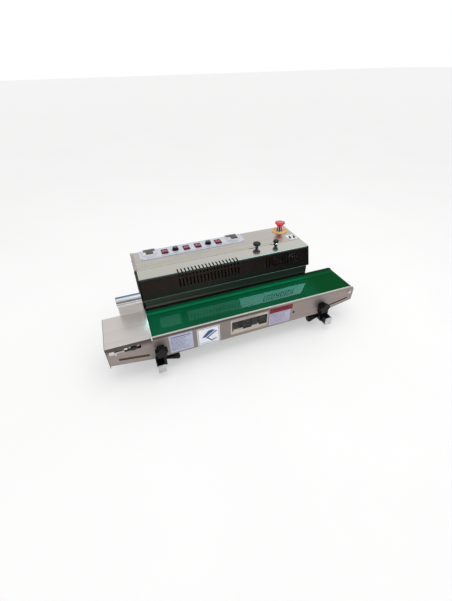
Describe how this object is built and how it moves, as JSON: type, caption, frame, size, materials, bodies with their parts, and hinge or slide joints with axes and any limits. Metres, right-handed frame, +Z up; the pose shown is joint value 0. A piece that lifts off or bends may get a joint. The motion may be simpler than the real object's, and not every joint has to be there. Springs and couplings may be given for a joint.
{
  "type": "continuous band sealer",
  "caption": "Tabletop continuous band sealer: sealing head with hot bands and press wheels over a belt conveyor whose depth and height adjust.",
  "frame": {"origin": "on the floor, under the centre of the machine's outline", "axes": "+X the way the bags travel along the conveyor, -Y the operator side, +Z up"},
  "size_m": [0.8559, 0.376, 0.295],
  "materials": {
    "stainless": "satin stainless sheet",
    "end_steel": "fine-grained stainless sheet",
    "mirror_dark": "mirror-polished sheet that shows a dark surround",
    "black_paint": "satin black",
    "dark_steel": "dark coated steel",
    "zinc_steel": "bright zinc",
    "chrome": "polished",
    "aluminium": "machined",
    "brass": "machined",
    "cap_grey": "moulded",
    "rubber_black": "matte",
    "belt_green": "glossy PVC belt",
    "band_brown": "coated glass cloth",
    "black_plastic": "moulded",
    "pale_plastic": "moulded, light grey",
    "white_plate": "printed white panel",
    "rocker_red": "tinted translucent",
    "estop_red": "gloss",
    "ring_yellow": "semi-gloss",
    "board_green": "laminate",
    "cast_grey": "painted casting"
  },
  "bodies": {
    "sealing_head": {"base_pan": "stainless", "support_bars": "black_paint", "bar_end_caps": "cap_grey", "rubber_feet": "rubber_black", "housing_shell": "stainless", "left_end_panel": "end_steel", "right_end_panel": "stainless", "mounting_frame": "dark_steel", "lower_guard": "mirror_dark", "control_plate": "white_plate", "temperature_controllers": "pale_plastic", "rocker_frames": "black_plastic", "estop_ring": "ring_yellow", "estop_body": "chrome", "infeed_guides": "chrome", "housing_screws": "zinc_steel", "sealing_bands": "band_brown", "shaft_bearings": "brass", "press_brackets": "aluminium", "heater_blocks": "brass", "cooling_blocks": "aluminium", "main_gearmotor": "cast_grey", "fan_housing": "black_plastic", "control_board": "board_green", "power_inlet": "black_plastic"},
    "carriage": {"carriage_brackets": "black_paint"},
    "conveyor": {"conveyor_front_plate": "stainless", "conveyor_rear_plate": "stainless", "infeed_cover_plate": "stainless", "slider_bed": "stainless", "tie_bars": "zinc_steel", "conveyor_belt": "belt_green", "roller_axles": "zinc_steel"},
    "front_cover": {"front_cover": "mirror_dark"},
    "upper_drive_spindle": {"upper_drive_spindle": "zinc_steel"},
    "lower_drive_spindle": {"lower_drive_spindle": "zinc_steel"},
    "upper_idler_wheel": {"upper_idler_wheel": "zinc_steel"},
    "lower_idler_wheel": {"lower_idler_wheel": "zinc_steel"},
    "upper_press_wheel_a": {"upper_press_wheel_a": "zinc_steel"},
    "upper_press_wheel_b": {"upper_press_wheel_b": "zinc_steel"},
    "lower_press_wheel_a": {"lower_press_wheel_a": "zinc_steel"},
    "lower_press_wheel_b": {"lower_press_wheel_b": "zinc_steel"},
    "motor_pinion": {"motor_pinion": "zinc_steel"},
    "fan_impeller": {"fan_impeller": "black_plastic"},
    "pressure_screw_a": {"pressure_screw_a": "black_plastic"},
    "pressure_screw_b": {"pressure_screw_b": "black_plastic"},
    "estop_stem": {"estop_stem": "black_plastic"},
    "estop_head": {"estop_head": "estop_red"},
    "rocker_1": {"rocker_1": "rocker_red"},
    "rocker_2": {"rocker_2": "rocker_red"},
    "rocker_3": {"rocker_3": "rocker_red"},
    "rocker_4": {"rocker_4": "rocker_red"},
    "dial_a": {"dial_a": "black_plastic"},
    "dial_b": {"dial_b": "black_plastic"},
    "drive_roller": {"drive_roller": "zinc_steel"},
    "tail_roller": {"tail_roller": "zinc_steel"},
    "height_lock_knob_left": {"height_lock_knob_left": "black_plastic"},
    "height_lock_knob_right": {"height_lock_knob_right": "black_plastic"},
    "depth_lock_knob_left": {"depth_lock_knob_left": "black_plastic"},
    "depth_lock_knob_right": {"depth_lock_knob_right": "black_plastic"}
  },
  "joints": [
    {"name": "front_cover_slide", "type": "slide", "parent": "sealing_head", "child": "front_cover", "axis": [0, -1, 0], "range_m": [0, 0.1]},
    {"name": "lower_drive_spin", "type": "hinge", "parent": "sealing_head", "child": "lower_drive_spindle", "pos_m": [0.27, 0.01, 0.1512], "axis": [0, 1, 0], "continuous": true},
    {"name": "upper_drive_spin", "type": "hinge", "parent": "sealing_head", "child": "upper_drive_spindle", "pos_m": [0.27, 0.01, 0.2148], "axis": [0, 1, 0], "continuous": true},
    {"name": "upper_idler_spin", "type": "hinge", "parent": "sealing_head", "child": "upper_idler_wheel", "pos_m": [-0.25, 0.01, 0.2148], "axis": [0, 1, 0], "continuous": true},
    {"name": "lower_idler_spin", "type": "hinge", "parent": "sealing_head", "child": "lower_idler_wheel", "pos_m": [-0.25, 0.01, 0.1512], "axis": [0, 1, 0], "continuous": true},
    {"name": "upper_press_spin_a", "type": "hinge", "parent": "sealing_head", "child": "upper_press_wheel_a", "pos_m": [0.139, 0.01, 0.1993], "axis": [0, 1, 0], "continuous": true},
    {"name": "lower_press_spin_a", "type": "hinge", "parent": "sealing_head", "child": "lower_press_wheel_a", "pos_m": [0.139, 0.01, 0.1667], "axis": [0, 1, 0], "continuous": true},
    {"name": "pressure_screw_turn_a", "type": "hinge", "parent": "sealing_head", "child": "pressure_screw_a", "pos_m": [0.139, 0.054, 0.26], "axis": [0, 0, 1], "range_deg": [-180, 180]},
    {"name": "upper_press_spin_b", "type": "hinge", "parent": "sealing_head", "child": "upper_press_wheel_b", "pos_m": [0.211, 0.01, 0.1993], "axis": [0, 1, 0], "continuous": true},
    {"name": "lower_press_spin_b", "type": "hinge", "parent": "sealing_head", "child": "lower_press_wheel_b", "pos_m": [0.211, 0.01, 0.1667], "axis": [0, 1, 0], "continuous": true},
    {"name": "pressure_screw_turn_b", "type": "hinge", "parent": "sealing_head", "child": "pressure_screw_b", "pos_m": [0.211, 0.046, 0.26], "axis": [0, 0, 1], "range_deg": [-180, 180]},
    {"name": "motor_pinion_spin", "type": "hinge", "parent": "sealing_head", "child": "motor_pinion", "pos_m": [0.2223, 0.073, 0.1512], "axis": [0, 1, 0], "continuous": true},
    {"name": "fan_spin", "type": "hinge", "parent": "sealing_head", "child": "fan_impeller", "pos_m": [0.06, 0.075, 0.195], "axis": [0, 1, 0], "continuous": true},
    {"name": "estop_press", "type": "slide", "parent": "sealing_head", "child": "estop_stem", "axis": [0, 0, -1], "range_m": [0, 0.004], "stiffness_N_per_m": 1500, "springref_m": -0.003},
    {"name": "estop_twist", "type": "hinge", "parent": "estop_stem", "child": "estop_head", "pos_m": [0.281, 0.15, 0.285], "axis": [0, 0, -1], "range_deg": [0, 45], "stiffness_Nm_per_rad": 0.1},
    {"name": "rocker_1_tilt", "type": "hinge", "parent": "sealing_head", "child": "rocker_1", "pos_m": [-0.176, 0.1495, 0.258], "axis": [1, 0, 0], "range_deg": [0, 20]},
    {"name": "rocker_2_tilt", "type": "hinge", "parent": "sealing_head", "child": "rocker_2", "pos_m": [-0.097, 0.1495, 0.258], "axis": [1, 0, 0], "range_deg": [0, 20]},
    {"name": "rocker_3_tilt", "type": "hinge", "parent": "sealing_head", "child": "rocker_3", "pos_m": [-0.054, 0.1495, 0.258], "axis": [1, 0, 0], "range_deg": [0, 20]},
    {"name": "rocker_4_tilt", "type": "hinge", "parent": "sealing_head", "child": "rocker_4", "pos_m": [0.024, 0.1495, 0.258], "axis": [1, 0, 0], "range_deg": [0, 20]},
    {"name": "dial_a_turn", "type": "hinge", "parent": "sealing_head", "child": "dial_a", "pos_m": [-0.137, 0.15, 0.265], "axis": [0, 0, -1], "range_deg": [0, 300]},
    {"name": "dial_b_turn", "type": "hinge", "parent": "sealing_head", "child": "dial_b", "pos_m": [-0.014, 0.15, 0.265], "axis": [0, 0, -1], "range_deg": [0, 300]},
    {"name": "carriage_depth", "type": "slide", "parent": "sealing_head", "child": "carriage", "axis": [0, -1, 0], "range_m": [0, 0.024]},
    {"name": "conveyor_height", "type": "slide", "parent": "carriage", "child": "conveyor", "axis": [0, 0, 1], "range_m": [0, 0.015]},
    {"name": "drive_roller_spin", "type": "hinge", "parent": "conveyor", "child": "drive_roller", "pos_m": [-0.345, -0.085, 0.129], "axis": [0, 1, 0], "continuous": true},
    {"name": "tail_roller_spin", "type": "hinge", "parent": "conveyor", "child": "tail_roller", "pos_m": [0.412, -0.085, 0.129], "axis": [0, 1, 0], "continuous": true},
    {"name": "height_lock_turn_left", "type": "hinge", "parent": "carriage", "child": "height_lock_knob_left", "pos_m": [-0.271, -0.156, 0.101], "axis": [0, -1, 0], "range_deg": [-360, 0]},
    {"name": "depth_lock_turn_left", "type": "hinge", "parent": "carriage", "child": "depth_lock_knob_left", "pos_m": [-0.24, -0.145, 0.044], "axis": [1, 0, 0], "range_deg": [-360, 0]},
    {"name": "height_lock_turn_right", "type": "hinge", "parent": "carriage", "child": "height_lock_knob_right", "pos_m": [0.3, -0.156, 0.101], "axis": [0, -1, 0], "range_deg": [-360, 0]},
    {"name": "depth_lock_turn_right", "type": "hinge", "parent": "carriage", "child": "depth_lock_knob_right", "pos_m": [0.282, -0.145, 0.044], "axis": [-1, 0, 0], "range_deg": [-360, 0]}
  ],
  "couplings": [
    {"joint": "upper_drive_spin", "follows": "lower_drive_spin", "ratio": -1},
    {"joint": "upper_idler_spin", "follows": "lower_drive_spin", "ratio": -1},
    {"joint": "lower_idler_spin", "follows": "lower_drive_spin", "ratio": 1},
    {"joint": "motor_pinion_spin", "follows": "lower_drive_spin", "ratio": -2},
    {"joint": "upper_press_spin_a", "follows": "lower_drive_spin", "ratio": -2.069},
    {"joint": "lower_press_spin_a", "follows": "lower_drive_spin", "ratio": 2.069},
    {"joint": "upper_press_spin_b", "follows": "lower_drive_spin", "ratio": -2.069},
    {"joint": "lower_press_spin_b", "follows": "lower_drive_spin", "ratio": 2.069},
    {"joint": "tail_roller_spin", "follows": "drive_roller_spin", "ratio": 1}
  ]
}
